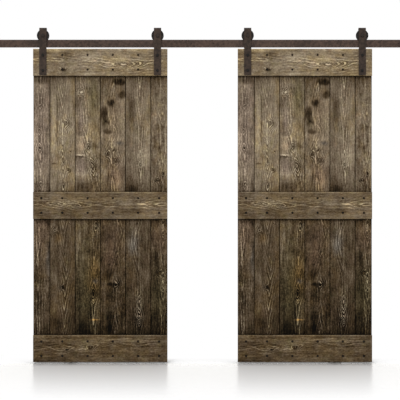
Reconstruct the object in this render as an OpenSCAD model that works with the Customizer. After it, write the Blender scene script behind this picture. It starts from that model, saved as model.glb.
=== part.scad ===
// A pair of boarded sliding barn doors that hang from one flat steel track on bent strap hangers.
// Millimetres. X runs along the track, +Y runs back into the wall, Z is up.
// The origin lies on the wall face, half way along the track, on the line of the track's fixings.

/* [Doors] */
// Width of each door
door_w = 914; // [864:1:1016]
// Height of each door
door_h = 2134; // [1980:1:2440]
// Distance from the middle of the track to the near edge of each door, as drawn
door_half_gap = 240; // [60:1:400]
// Clear height between the track's lower edge and the top of the door
door_drop = 9.5; // [6:0.5:12]
// Gap between the back of the door and the wall
wall_gap = 17; // [15:0.5:30]
// Gap left between the two doors when both are shut
meeting_gap = 4; // [2:0.5:10]

/* [Boards] */
// Thickness of the upright boards
board_t = 19; // [16:0.5:24]
// Number of upright boards, the two cut-down edge boards included
board_count = 6; // [6:1:6]
// Width of the two edge boards
edge_board_w = 113; // [100:1:130]
// Shadow gap between neighbouring board faces
board_gap = 2; // [1:0.25:4]
// Eased corner along each board's long edges
board_chamfer = 3; // [1:0.25:4]
// Thickness of the tongue that joins neighbouring boards
tongue_t = 6; // [4:0.5:7]
// Reach of the tongue into the next board
tongue_l = 8; // [5:0.5:12]
// Play between tongue and groove, on each side
tongue_play = 0.3; // [0.1:0.05:0.6]

/* [Rails] */
// Height of the three horizontal rails
rail_h = 184; // [150:1:200]
// Thickness of the rails
rail_t = 19; // [16:0.5:24]
// Eased corner along the front edges of the rails
rail_chamfer = 1.5; // [0.5:0.25:3]
// Distance between the two rows of screws in a rail
screw_row_pitch = 99; // [70:1:120]
// Shank diameter of the rail screws
screw_d = 4.5; // [4:0.25:5.5]
// Head diameter of the rail screws
screw_head_d = 9.5; // [8:0.25:11]
// Length of the rail screws
screw_l = 32; // [28:0.5:34]
// Depth that the screw heads sit below the face of the rail
screw_sink = 0.6; // [0.2:0.1:1.5]

/* [Hangers] */
// Width of the hanger straps
strap_w = 49; // [40:1:60]
// Thickness of the hanger straps
strap_t = 6; // [5:0.5:8]
// Cut corner at the strap's lower end
strap_corner = 4; // [2:0.5:10]
// Inside radius of the two bends over the wheel
strap_bend_r = 5; // [3:0.5:7]
// Distance from the door's edge to the middle of the strap
strap_inset = 67; // [50:1:85]
// Reach of the strap below the top of the door
strap_tail = 180; // [165:1:183]
// Reach of the rear leg below the axle
strap_rear_drop = 22; // [18:0.5:25]
// Distance from the top of the door to the upper strap bolt
strap_bolt_top = 44; // [30:1:55]
// Distance between the two strap bolts
strap_bolt_pitch = 104; // [80:1:115]
// Diameter of the strap bolts
bolt_d = 10; // [8:0.5:12]
// Width across the flats of the strap bolts' heads and nuts
bolt_flats = 17; // [15:0.5:20]
// Height of the strap bolts' heads
bolt_head_h = 6.5; // [5:0.5:8]
// Outside diameter of the washers behind the door
washer_d = 24; // [20:0.5:30]
// Thickness of the washers
washer_t = 2; // [1.5:0.25:3]
// Thickness of the strap bolts' nuts
nut_t = 8; // [6:0.5:10]

/* [Wheels] */
// Diameter of the wheel over its flanges
wheel_d = 84; // [76:1:92]
// Diameter of the tread that runs on the track
tread_d = 56; // [52:1:62]
// Width of the wheel
wheel_w = 20; // [18:0.5:26]
// Play between the track and the groove at the tread, on each side
groove_play = 1.5; // [1:0.25:2]
// Slope of the groove's walls, in degrees
groove_slope = 8; // [4:1:12]
// Play between the wheel and each leg of the strap
wheel_side_play = 2; // [1.5:0.25:4]
// Play between the wheel and the top of the strap
wheel_top_play = 4.5; // [4:0.5:10]
// Diameter of the axle bolt
axle_d = 14; // [12:0.5:15]
// Width across the flats of the axle bolt's head and nut
axle_flats = 22; // [20:0.5:26]
// Height of the axle bolt's head
axle_head_h = 8; // [6:0.5:10]
// Thickness of the axle nut
axle_nut_t = 7; // [6:0.5:10]
// Outside diameter of the bearing
bearing_d = 32; // [28:1:36]
// Width of the bearing
bearing_w = 12; // [10:0.5:14]
// Outside diameter of the bushes that centre the wheel
bush_d = 19; // [18:0.5:22]

/* [Track] */
// Length of each half of the track
track_half_l = 1829; // [1700:1:2200]
// Height of the track
track_h = 53; // [44:1:60]
// Thickness of the track
track_t = 6; // [5:0.5:8]
// Eased corner along the track's edges
track_chamfer = 1; // [0.5:0.25:1.5]
// Number of wall fixings in each half of the track
fixings_per_half = 5; // [3:1:6]
// Distance from each end of a track half to its nearest fixing
fixing_end = 76; // [74:1:110]
// Clear height between the wheels' flanges and what stands behind the track
flange_clearance = 1.3; // [0.8:0.1:2]
// Shank diameter of the lag screws
lag_d = 9; // [8:0.5:10]
// Core diameter of the lag screws' thread
lag_core_d = 7.6; // [6.5:0.1:7.8]
// Head diameter of the lag screws
lag_head_d = 17; // [15:0.5:18]
// Reach of the lag screws into the wall
lag_reach = 56; // [40:1:90]
// Width across the flats of the lag screws' sockets
lag_socket = 6; // [5:0.5:6.5]
// Length of the plate that joins the track's halves
joiner_l = 112; // [90:1:116]
// Thickness of the joining plate
joiner_t = 5; // [4:0.5:7]
// Diameter of the joining bolts
joiner_bolt_d = 6; // [5:0.5:6.5]

/* [Stops] */
// Distance from the end of the track to the stop
stop_end = 8; // [4:1:20]
// Length of the stop along the track
stop_l = 36; // [30:1:50]
// Depth of the stop across the track
stop_w = 30; // [26:1:40]
// Height of the stop above the track
stop_rise = 44; // [40:1:60]
// Reach of the stop's cheeks below the top of the track
stop_drop = 32; // [26:1:36]
// Corner rounding of the stop
stop_round = 4; // [2:0.5:8]
// Diameter of the stop's set screws
set_screw_d = 8; // [6:0.5:9]
// Diameter of the rubber bumper
bumper_d = 26; // [20:1:28]
// Thickness of the rubber bumper
bumper_t = 8; // [6:0.5:12]

/* [Floor guides] */
// Clear height between the floor and the bottom of the door
floor_gap = 8; // [7:0.5:15]
// Thickness of the guide's base
guide_base_t = 4; // [3:0.5:5]
// Length of the guide's base
guide_base_l = 92; // [80:1:120]
// Width of the guide's base
guide_base_w = 26; // [22:1:32]
// Length of the guide's fin
guide_fin_l = 24; // [16:1:28]
// Thickness of the guide's fin
guide_fin_t = 6; // [4:0.5:7]
// Reach of the fin into the door's groove
guide_fin_reach = 14; // [8:0.5:18]
// Play between the fin and the groove, on each side
guide_play = 0.5; // [0.3:0.05:1]
// Distance between the guide's two screw holes
guide_hole_pitch = 66; // [54:1:72]
// Diameter of the guide's screw holes
guide_hole_d = 5.5; // [4.5:0.25:6.5]

/* [Hidden] */
$fn = 64;
FIT = 0.05;
RUNNING_GAP = 0.3;
THREAD_GAP = 0.25;
OVERCUT = 1;
GROOVE_SPARE = 4;
JOINER_BOLT_SHARES = [0.18, 0.39];
SET_SCREW_SHARES = [0.28, 0.72];
STEEL = [0.24, 0.20, 0.17];
NYLON = [0.11, 0.10, 0.09];
RUBBER = [0.07, 0.07, 0.07];
BRIGHT_STEEL = [0.55, 0.55, 0.56];
SCREW_BLACK = [0.06, 0.05, 0.05];
BOARD_WOOD = [0.40, 0.34, 0.27];
RAIL_WOOD = [0.46, 0.40, 0.31];

// Heights
track_top = track_h / 2;
door_top = -track_h / 2 - door_drop;
door_bottom = door_top - door_h;
floor_z = door_bottom - floor_gap;
axle_z = track_top + tread_d / 2 + RUNNING_GAP;
spacer_d = 2 * (axle_z - wheel_d / 2 - flange_clearance);
joiner_h = spacer_d;
strap_top = axle_z + wheel_d / 2 + wheel_top_play + strap_t;
strap_bottom = door_top - strap_tail;
strap_bolt_z = [door_top - strap_bolt_top, door_top - strap_bolt_top - strap_bolt_pitch];
rail_mid_z = [door_top - rail_h / 2, door_top - door_h / 2, door_bottom + rail_h / 2];

// Depths, from the wall forward
fork_half = wheel_w / 2 + wheel_side_play;
door_back = -wall_gap;
boards_front = door_back - board_t;
door_front = boards_front - rail_t;
track_mid_y = door_front + fork_half;
track_back = track_mid_y + track_t / 2;
track_front = track_mid_y - track_t / 2;
strap_front = door_front - strap_t;
strap_rear = track_mid_y + fork_half + strap_t;
spacer_l = -track_back;
guide_y = door_back - board_t / 2;

// Places along the track
left_door_x = -door_half_gap - door_w;
right_door_x = door_half_gap;
strap_xs = [strap_inset, door_w - strap_inset];
board_pitch = (door_w - 2 * edge_board_w) / (board_count - 2);
fixing_pitch = (track_half_l - 2 * fixing_end) / (fixings_per_half - 1);
fixing_xs = [for (side = [-1, 1], i = [0 : fixings_per_half - 1]) side * (fixing_end + i * fixing_pitch)];
joiner_bolt_xs = [for (side = [-1, 1], share = JOINER_BOLT_SHARES) side * share * joiner_l];
stop_inner_x = track_half_l - stop_end - stop_l;
set_screw_xs = [for (share = SET_SCREW_SHARES) stop_inner_x + stop_l * share];
open_axle_x = stop_inner_x - bumper_t - wheel_d / 2 - RUNNING_GAP;
open_near_edge = open_axle_x + strap_inset - door_w;
shut_far_edge = meeting_gap / 2 + door_w;
guide_x = (open_near_edge + shut_far_edge) / 2;
groove_w = guide_fin_t + 2 * guide_play;
groove_depth = guide_fin_reach + GROOVE_SPARE;

function seam(i) = i == 0 ? 0 : i == board_count ? door_w : edge_board_w + (i - 1) * board_pitch;
function board_mid(i) = (seam(i) + seam(i + 1)) / 2;
function under_strap(x) = min([for (s = strap_xs) abs(x - s)]) < (strap_w + screw_head_d) / 2;
function columns(level) = [
    for (i = [0 : board_count - 1])
        if (level > 0 || !under_strap(board_mid(i))) board_mid(i)
];
function rows(level) = [for (side = [-1, 1]) rail_mid_z[level] + side * screw_row_pitch / 2];

// A cylinder that starts at the origin and runs back along +Y
module rod_y(d, l) {
    rotate([-90, 0, 0]) cylinder(d = d, h = l);
}

// A cone frustum that starts at the origin and runs back along +Y
module cone_y(d1, d2, l) {
    rotate([-90, 0, 0]) cylinder(d1 = d1, d2 = d2, h = l);
}

// A hexagonal prism along +Y, with its front corners turned off
module hex_y(flats, l) {
    corners = flats / cos(30);
    turned = (corners - flats) / 2;
    intersection() {
        rotate([-90, 30, 0]) cylinder(d = corners, h = l, $fn = 6);
        union() {
            cone_y(flats - turned, corners, turned);
            translate([0, turned, 0]) rod_y(corners, l - turned);
        }
    }
}

// A flat ring along +Y
module ring_y(outside, inside, l) {
    difference() {
        rod_y(outside, l);
        translate([0, -OVERCUT, 0]) rod_y(inside, l + 2 * OVERCUT);
    }
}

// A profile drawn with X to the back and Y up, run along X from the origin
module along_x(l) {
    rotate([90, 0, 90]) linear_extrude(height = l) children();
}

// A countersunk screw from the face at the origin, back along +Y; the point ends in a cone
module countersunk_screw(head_d, d, l, point_l) {
    head_h = (head_d - d) / 2;
    cone_y(head_d, d, head_h);
    translate([0, head_h, 0]) rod_y(d, l - head_h - point_l);
    if (point_l > 0) translate([0, l - point_l, 0]) cone_y(d, d / 6, point_l);
}

// The hole for a countersunk head, with the clear hole behind it
module countersunk_hole(head_d, d, hole_d, l) {
    head_h = (head_d - d) / 2;
    cone_y(head_d, d, head_h);
    rod_y(hole_d, l);
    translate([0, -OVERCUT, 0]) rod_y(head_d, OVERCUT);
}

// The section of one board: chamfered corners, a tongue on its right and a groove on its left
module board_section(i) {
    left = seam(i) + (i == 0 ? 0 : board_gap / 2);
    right = seam(i + 1) - (i == board_count - 1 ? 0 : board_gap / 2);
    mid = (boards_front + door_back) / 2;
    tongue_end = right + board_gap + tongue_l;
    difference() {
        union() {
            polygon([
                [left + board_chamfer, boards_front],
                [right - board_chamfer, boards_front],
                [right, boards_front + board_chamfer],
                [right, door_back - board_chamfer],
                [right - board_chamfer, door_back],
                [left + board_chamfer, door_back],
                [left, door_back - board_chamfer],
                [left, boards_front + board_chamfer]
            ]);
            if (i < board_count - 1) {
                translate([right - OVERCUT, mid - tongue_t / 2])
                    square([tongue_end - right + OVERCUT, tongue_t]);
            }
        }
        if (i > 0) {
            translate([left - OVERCUT, mid - tongue_t / 2 - tongue_play])
                square([tongue_l + tongue_play + OVERCUT, tongue_t + 2 * tongue_play]);
        }
    }
}

// One upright board of a door, with the holes for its screws and bolts and the groove for the floor guide
module board(i) {
    pilot_l = screw_l + screw_sink - rail_t + THREAD_GAP;
    reach = board_gap + tongue_l + bolt_d;
    near = [for (x = strap_xs) if (x > seam(i) - reach && x < seam(i + 1) + reach) x];
    screwed = [for (x = columns(1)) if (x > seam(i) && x < seam(i + 1)) x];
    color(BOARD_WOOD) difference() {
        translate([0, 0, door_bottom]) linear_extrude(height = door_h) board_section(i);
        translate([-OVERCUT, guide_y - groove_w / 2, door_bottom - OVERCUT])
            cube([door_w + 2 * OVERCUT, groove_w, groove_depth + OVERCUT]);
        for (level = [0 : 2], x = screwed, z = rows(level)) {
            if (level > 0 || !under_strap(x)) {
                translate([x, boards_front - OVERCUT, z]) rod_y(screw_d + 2 * FIT, pilot_l + OVERCUT);
            }
        }
        for (x = near, z = strap_bolt_z) {
            translate([x, boards_front - OVERCUT, z]) rod_y(bolt_d + 2 * THREAD_GAP, board_t + 2 * OVERCUT);
        }
    }
}

// One horizontal rail: level 0 is the top rail, 1 the middle and 2 the bottom
module rail(level) {
    low = rail_mid_z[level] - rail_h / 2;
    high = rail_mid_z[level] + rail_h / 2;
    color(RAIL_WOOD) difference() {
        along_x(door_w) polygon([
            [boards_front, low],
            [boards_front, high],
            [door_front + rail_chamfer, high],
            [door_front, high - rail_chamfer],
            [door_front, low + rail_chamfer],
            [door_front + rail_chamfer, low]
        ]);
        for (x = columns(level), z = rows(level)) {
            translate([x, door_front + screw_sink, z]) {
                countersunk_hole(screw_head_d, screw_d, screw_d + 2 * FIT, rail_t + OVERCUT);
            }
        }
        if (level == 0) {
            for (x = strap_xs, z = strap_bolt_z) {
                translate([x, door_front - OVERCUT, z])
                    rod_y(bolt_d + 2 * THREAD_GAP, rail_t + 2 * OVERCUT);
            }
        }
    }
}

// The screws that hold the rails of one door to its boards, with a cross recess in each head
module rail_screws() {
    slot_l = screw_head_d * 0.55;
    slot_t = screw_head_d * 0.13;
    slot_depth = screw_head_d * 0.2;
    color(SCREW_BLACK)
        for (level = [0 : 2], x = columns(level), z = rows(level)) {
            translate([x, door_front + screw_sink, z]) difference() {
                countersunk_screw(screw_head_d, screw_d, screw_l, screw_d);
                for (turn = [0, 90]) {
                    rotate([0, turn, 0]) translate([-slot_l / 2, -OVERCUT, -slot_t / 2])
                        cube([slot_l, slot_depth + OVERCUT, slot_t]);
                }
            }
        }
}

// An upright outline with round shoulders, from left to right and from low to high
module round_shouldered(left, right, low, high, r) {
    translate([left, low]) square([right - left, high - r - low]);
    translate([left + r, low]) square([right - left - 2 * r, high - low]);
    for (y = [left + r, right - r]) {
        translate([y, high - r]) circle(r = r);
    }
}

// The side profile of a strap, from its tail in front, over the wheel, to the end of its rear leg
module strap_profile() {
    inside_front = strap_front + strap_t;
    inside_rear = strap_rear - strap_t;
    inside_top = strap_top - strap_t;
    rear_end = axle_z - strap_rear_drop;
    difference() {
        round_shouldered(strap_front, strap_rear, strap_bottom, strap_top, strap_bend_r + strap_t);
        round_shouldered(inside_front, inside_rear, strap_bottom - OVERCUT, inside_top, strap_bend_r);
        translate([inside_front, strap_bottom - OVERCUT])
            square([strap_rear - inside_front + OVERCUT, rear_end - strap_bottom + OVERCUT]);
    }
}

// One hanger strap, centred on its axle at x
module strap(x) {
    total = strap_rear - strap_front + 2 * OVERCUT;
    outside = strap_w / 2 + OVERCUT;
    color(STEEL) difference() {
        translate([x - strap_w / 2, 0, 0]) along_x(strap_w) strap_profile();
        translate([x, strap_front - OVERCUT, axle_z]) rod_y(axle_d + 2 * FIT, total);
        for (z = strap_bolt_z) {
            translate([x, strap_front - OVERCUT, z]) rod_y(bolt_d + 2 * THREAD_GAP, strap_t + 2 * OVERCUT);
        }
        translate([x, door_front + OVERCUT, strap_bottom]) rotate([90, 0, 0])
            linear_extrude(height = strap_t + 2 * OVERCUT)
                for (side = [-1, 1]) {
                    polygon([
                        [side * outside, -OVERCUT],
                        [side * outside, strap_corner + OVERCUT],
                        [side * (outside - strap_corner - 2 * OVERCUT), -OVERCUT]
                    ]);
                }
    }
}

// The bolts that clamp the straps of one door to its top rail and edge boards
module strap_bolts() {
    grip = strap_t + rail_t + board_t + washer_t + nut_t;
    color(STEEL)
        for (x = strap_xs, z = strap_bolt_z) {
            translate([x, strap_front - bolt_head_h, z]) union() {
                hex_y(bolt_flats, bolt_head_h);
                translate([0, bolt_head_h / 2, 0]) rod_y(bolt_d, bolt_head_h / 2 + grip + bolt_d / 6);
            }
        }
}

// The washers behind the door under the strap bolts' nuts
module strap_washers() {
    color(STEEL)
        for (x = strap_xs, z = strap_bolt_z) {
            translate([x, door_back, z]) ring_y(washer_d, bolt_d + 2 * THREAD_GAP, washer_t);
        }
}

// A hexagonal nut along +Y, with its rear corners turned off
module nut_y(flats, bore, l) {
    translate([0, l, 0]) rotate([0, 0, 180]) difference() {
        hex_y(flats, l);
        translate([0, -OVERCUT, 0]) rod_y(bore, l + 2 * OVERCUT);
    }
}

// The nuts of the strap bolts
module strap_nuts() {
    color(STEEL)
        for (x = strap_xs, z = strap_bolt_z) {
            translate([x, door_back + washer_t, z]) nut_y(bolt_flats, bolt_d + 2 * FIT, nut_t);
        }
}

// The axle bolts of one door, with a hexagonal head in front of the strap
module axle_bolts() {
    shank = axle_head_h / 2 + strap_rear - strap_front + axle_nut_t + axle_d / 10;
    color(STEEL)
        for (x = strap_xs) {
            translate([x, strap_front - axle_head_h, axle_z]) union() {
                hex_y(axle_flats, axle_head_h);
                translate([0, axle_head_h / 2, 0]) rod_y(axle_d, shank);
            }
        }
}

// The nuts on the axle bolts, behind the rear legs of the straps
module axle_nuts() {
    color(STEEL)
        for (x = strap_xs) {
            translate([x, strap_rear, axle_z]) nut_y(axle_flats, axle_d + 2 * FIT, axle_nut_t);
        }
}

// The bushes on the axles, one on each side of each bearing
module axle_bushes() {
    bush_l = fork_half - bearing_w / 2 - RUNNING_GAP;
    color(BRIGHT_STEEL)
        for (x = strap_xs, y = [track_mid_y - fork_half, track_mid_y + fork_half - bush_l]) {
            translate([x, y, axle_z]) ring_y(bush_d, axle_d + 2 * FIT, bush_l);
        }
}

// One grooved wheel, with a shallow dished face on each side
module wheel(x) {
    rim = wheel_d / 2;
    half = wheel_w / 2;
    tread_half = track_t / 2 + groove_play;
    mouth_half = tread_half + (wheel_d - tread_d) / 2 * tan(groove_slope);
    edge = (half - mouth_half) / 3;
    hub = bearing_d / 2;
    dish = 1.5;
    dish_in = hub + 3;
    dish_out = tread_d / 2 + (wheel_d - tread_d) / 4;
    side = [
        [hub, half],
        [dish_in, half],
        [dish_in + dish, half - dish],
        [dish_out - dish, half - dish],
        [dish_out, half],
        [rim - edge, half],
        [rim, half - edge],
        [rim, mouth_half],
        [tread_d / 2, tread_half]
    ];
    other = [for (i = [len(side) - 1 : -1 : 0]) [side[i][0], -side[i][1]]];
    color(NYLON) translate([x, track_mid_y, axle_z]) rotate([-90, 0, 0])
        rotate_extrude($fn = 96) polygon(concat(side, other));
}

// One sealed ball bearing, pressed into the wheel, with a shield set back between its two rings
module bearing(x) {
    inner = axle_d / 2 + FIT;
    outer = bearing_d / 2;
    ring = (outer - inner) / 4;
    half = bearing_w / 2;
    set_back = 0.6;
    side = [
        [inner, half],
        [inner + ring, half],
        [inner + ring, half - set_back],
        [outer - ring, half - set_back],
        [outer - ring, half],
        [outer, half]
    ];
    other = [for (i = [len(side) - 1 : -1 : 0]) [side[i][0], -side[i][1]]];
    color(BRIGHT_STEEL) translate([x, track_mid_y, axle_z]) rotate([-90, 0, 0])
        rotate_extrude() polygon(concat(side, other));
}

// One half of the track: side is -1 for the left half and 1 for the right
module track_bar(side) {
    start = side < 0 ? -track_half_l : 0;
    half = track_h / 2;
    color(STEEL) difference() {
        translate([start, 0, 0]) along_x(track_half_l) polygon([
            [track_back, -half + track_chamfer],
            [track_back, half - track_chamfer],
            [track_back - track_chamfer, half],
            [track_front + track_chamfer, half],
            [track_front, half - track_chamfer],
            [track_front, -half + track_chamfer],
            [track_front + track_chamfer, -half],
            [track_back - track_chamfer, -half]
        ]);
        for (x = fixing_xs) {
            if (x * side > 0) {
                translate([x, track_front, 0])
                    countersunk_hole(lag_head_d, lag_d, lag_d + 2 * THREAD_GAP, track_t + OVERCUT);
            }
        }
        for (x = joiner_bolt_xs) {
            if (x * side > 0) {
                translate([x, track_front, 0])
                    countersunk_hole(
                        2 * joiner_bolt_d,
                        joiner_bolt_d,
                        joiner_bolt_d + 2 * FIT,
                        track_t + OVERCUT
                    );
            }
        }
    }
}

// The plate behind the track that joins its two halves
module track_joiner() {
    color(STEEL) difference() {
        translate([-joiner_l / 2, track_back, -joiner_h / 2]) cube([joiner_l, joiner_t, joiner_h]);
        for (x = joiner_bolt_xs) {
            translate([x, track_back - OVERCUT, 0]) rod_y(joiner_bolt_d + 2 * FIT, joiner_t + 2 * OVERCUT);
        }
    }
}

// The countersunk bolts of the joining plate
module joiner_bolts() {
    color(STEEL)
        for (x = joiner_bolt_xs) {
            translate([x, track_front, 0]) difference() {
                countersunk_screw(2 * joiner_bolt_d, joiner_bolt_d, track_t + joiner_t, 0);
                translate([0, -OVERCUT, 0]) rotate([-90, 0, 0])
                    cylinder(d = joiner_bolt_d * 0.75, h = joiner_bolt_d / 3 + OVERCUT, $fn = 6);
            }
        }
}

// The tubes that hold the track off the wall
module track_spacers() {
    ease = 1;
    bore = lag_d / 2 + THREAD_GAP;
    outer = spacer_d / 2;
    color(STEEL)
        for (x = fixing_xs) {
            translate([x, -spacer_l, 0]) rotate([-90, 0, 0]) rotate_extrude() polygon([
                [bore, 0],
                [outer - ease, 0],
                [outer, ease],
                [outer, spacer_l - ease],
                [outer - ease, spacer_l],
                [bore, spacer_l]
            ]);
        }
}

// The lag screws that pass through track and spacers into the wall, flush with the track's face
module lag_screws() {
    head_h = (lag_head_d - lag_d) / 2;
    point_l = lag_core_d;
    color(STEEL)
        for (x = fixing_xs) {
            translate([x, 0, 0]) difference() {
                union() {
                    translate([0, track_front, 0]) cone_y(lag_head_d, lag_d, head_h);
                    translate([0, track_front + head_h, 0]) rod_y(lag_d, -track_front - head_h);
                    rod_y(lag_core_d, lag_reach - point_l);
                    translate([0, lag_reach - point_l, 0]) cone_y(lag_core_d, lag_core_d / 6, point_l);
                }
                translate([0, track_front - OVERCUT, 0]) rotate([-90, 0, 0])
                    cylinder(d = lag_socket / cos(30), h = head_h + OVERCUT, $fn = 6);
            }
        }
}

// The outline of a stop seen along the track: a block with round shoulders and a slot for the track
module stop_profile() {
    low = track_top - stop_drop;
    slot = track_t + 2 * FIT;
    difference() {
        round_shouldered(
            track_mid_y - stop_w / 2,
            track_mid_y + stop_w / 2,
            low,
            track_top + stop_rise,
            stop_round
        );
        translate([track_mid_y - slot / 2, low - OVERCUT]) square([slot, track_top - low + OVERCUT]);
    }
}

// One end stop: side is -1 for the left end of the track and 1 for the right
module end_stop(side) {
    bore_l = (stop_w - track_t) / 2;
    stem_l = stop_l / 3;
    color(STEEL) difference() {
        translate([side < 0 ? -stop_inner_x - stop_l : stop_inner_x, 0, 0]) along_x(stop_l) stop_profile();
        for (x = set_screw_xs) {
            translate([side * x, track_mid_y - stop_w / 2 - OVERCUT, 0])
                rod_y(set_screw_d + 2 * FIT, bore_l + OVERCUT);
        }
        translate([side * stop_inner_x, track_mid_y, axle_z]) rotate([0, side * 90, 0])
            translate([0, 0, -OVERCUT]) cylinder(d = bumper_d / 3 + 2 * FIT, h = stem_l + OVERCUT + FIT);
    }
}

// The rubber bumpers on the stops, each with a stem pushed into its stop
module stop_bumpers() {
    stem_l = stop_l / 3;
    ease = bumper_t / 4;
    color(RUBBER)
        for (side = [-1, 1]) {
            translate([side * stop_inner_x, track_mid_y, axle_z]) rotate([0, side * 90, 0])
                rotate_extrude() polygon([
                    [0, -bumper_t],
                    [bumper_d / 2 - ease, -bumper_t],
                    [bumper_d / 2, -bumper_t + ease],
                    [bumper_d / 2, 0],
                    [bumper_d / 6, 0],
                    [bumper_d / 6, stem_l],
                    [0, stem_l]
                ]);
        }
}

// The socket set screws that clamp the stops to the track
module stop_set_screws() {
    front = track_mid_y - stop_w / 2;
    socket = set_screw_d / 2;
    color(STEEL)
        for (side = [-1, 1], x = set_screw_xs) {
            translate([side * x, front, 0]) difference() {
                rod_y(set_screw_d, track_front - front);
                translate([0, -OVERCUT, 0]) rotate([-90, 0, 0])
                    cylinder(d = socket / cos(30), h = socket + OVERCUT, $fn = 6);
            }
        }
}

// One floor guide: a base with round ends and countersunk holes, and a fin that runs in the door's groove
module floor_guide(side) {
    half = guide_base_l / 2 - guide_base_w / 2;
    fin_h = floor_gap - guide_base_t + guide_fin_reach;
    sink_d = 2 * guide_hole_d;
    sink_h = (sink_d - guide_hole_d) / 2;
    color(STEEL) translate([side * guide_x, guide_y, floor_z]) difference() {
        union() {
            translate([-half, -guide_base_w / 2, 0]) cube([2 * half, guide_base_w, guide_base_t]);
            for (x = [-half, half]) {
                translate([x, 0, 0]) cylinder(d = guide_base_w, h = guide_base_t);
            }
            translate([-guide_fin_l / 2, -guide_fin_t / 2, 0])
                cube([guide_fin_l, guide_fin_t, guide_base_t + fin_h]);
        }
        for (x = [-guide_hole_pitch / 2, guide_hole_pitch / 2]) {
            translate([x, 0, -OVERCUT]) cylinder(d = guide_hole_d, h = guide_base_t + 2 * OVERCUT);
            translate([x, 0, guide_base_t - sink_h]) cylinder(d1 = guide_hole_d, d2 = sink_d, h = sink_h);
        }
    }
}

DOORS = [
    ["left", left_door_x, strap_xs[0], strap_xs[1]],
    ["right", right_door_x, strap_xs[1], strap_xs[0]]
];

track_bar(-1);  // track_bar_left
track_bar(1);  // track_bar_right
track_joiner();
joiner_bolts();
track_spacers();
lag_screws();
end_stop(-1);  // left_end_stop
end_stop(1);  // right_end_stop
stop_bumpers();
stop_set_screws();
floor_guide(-1);  // left_floor_guide
floor_guide(1);  // right_floor_guide

for (door = DOORS) {
    side = door[0];
    outer_x = door[2];
    inner_x = door[3];
    translate([door[1], 0, 0]) {
        for (i = [0 : board_count - 1]) {
            board(i);
        }
        rail(0);
        rail(1);
        rail(2);
        rail_screws();
        strap(outer_x);
        strap(inner_x);
        strap_bolts();
        strap_washers();
        strap_nuts();
        axle_bolts();
        axle_nuts();
        axle_bushes();
        wheel(outer_x);
        wheel(inner_x);
        bearing(outer_x);
        bearing(inner_x);
    }
}
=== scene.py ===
"""A pair of boarded barn doors on a flat steel track: finishes, screw threads, stage and camera."""
import math
import bpy
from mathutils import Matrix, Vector


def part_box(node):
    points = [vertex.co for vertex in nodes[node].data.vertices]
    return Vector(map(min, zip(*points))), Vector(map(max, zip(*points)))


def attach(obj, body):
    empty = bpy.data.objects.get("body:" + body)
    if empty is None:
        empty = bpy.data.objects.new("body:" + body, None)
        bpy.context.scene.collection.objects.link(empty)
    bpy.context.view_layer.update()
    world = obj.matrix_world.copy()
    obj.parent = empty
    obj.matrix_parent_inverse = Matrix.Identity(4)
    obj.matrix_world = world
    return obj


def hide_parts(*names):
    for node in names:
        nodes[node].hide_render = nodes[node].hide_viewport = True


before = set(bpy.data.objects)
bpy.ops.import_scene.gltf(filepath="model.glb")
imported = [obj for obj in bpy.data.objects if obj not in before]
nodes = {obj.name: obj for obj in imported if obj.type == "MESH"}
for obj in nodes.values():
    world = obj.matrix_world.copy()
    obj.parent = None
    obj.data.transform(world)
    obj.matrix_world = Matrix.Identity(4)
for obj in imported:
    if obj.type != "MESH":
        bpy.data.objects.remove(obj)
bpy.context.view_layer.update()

# Names of the doors' pieces
SIDES = ("left", "right")
BOARDS = range(1, 7)
LEVELS = ("top", "mid", "bottom")

# Places that the finishes are measured from, in metres
MM = 0.001
BOARD_GAP = 2 * MM
TOP_RAIL_LOW, TOP_RAIL_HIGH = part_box("left_top_rail")
DOOR_LEFT = TOP_RAIL_LOW.x
DOOR_TOP = TOP_RAIL_HIGH.z
DOOR_W = TOP_RAIL_HIGH.x - DOOR_LEFT
DOOR_H = DOOR_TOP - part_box("left_bottom_rail")[0].z
DOOR_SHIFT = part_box("right_top_rail")[0].x - DOOR_LEFT
RAIL_H = TOP_RAIL_HIGH.z - TOP_RAIL_LOW.z
RAIL_FACE = TOP_RAIL_LOW.y
BOARD_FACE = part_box("left_board_1")[0].y
FLOOR_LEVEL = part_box("left_floor_guide")[0].z

# Wood screws in the rails and lag screws in the wall, in metres
SCREW_ROW = 49.5 * MM
SCREW_SINK = 0.6 * MM
SCREW_SIZES = {
    "Head": 9.5 * MM,
    "Shank": 4.5 * MM,
    "Length": 32 * MM,
    "Pitch": 2.2 * MM,
    "Ridge": 0.55 * MM,
}
LAG_SIZES = {"Core": 7.6 * MM, "Length": 56 * MM, "Pitch": 3.4 * MM, "Ridge": 0.85 * MM}
LAG_END = 76 * MM
LAG_PITCH = 419.25 * MM
LAGS_PER_HALF = 5
SCREW_SEED = 7
HEAD_SIDES = 28
SHAFT_SIDES = 20
THREAD_STEPS = 12

# Shares of a screw's sizes. Shank and point reach into their neighbours and are thinner, so no two faces coincide
RECESS_LONG, RECESS_WIDE, RECESS_DEEP = 1.1, 0.26, 0.8
SHANK_LAP, SHANK_THIN = 0.3, 0.99
POINT_LAP, POINT_THIN, POINT_END = 0.1, 0.98, 0.15
THREADED_SHANK = 0.7
TIP_THREAD, TIP_THREAD_END, TIP_RIDGE = 0.8, 0.3, 0.9
LAG_TIP_THREAD, LAG_TIP_END = 0.7, 0.4

# Light and view
WORLD_LIGHT = 0.66
SUN_STRENGTH = 1.35
SUN_ANGLE = math.radians(22)
SUN_FROM = (-0.15, -0.85, 0.70)
CAMERA_DISTANCE = 10.0
CAMERA_SENSOR = 36.0
CAMERA_REACH = 60.0
VIEW_WIDTH = 2.723
VIEW_CENTRE = (-0.0177, -1.0657)

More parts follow.
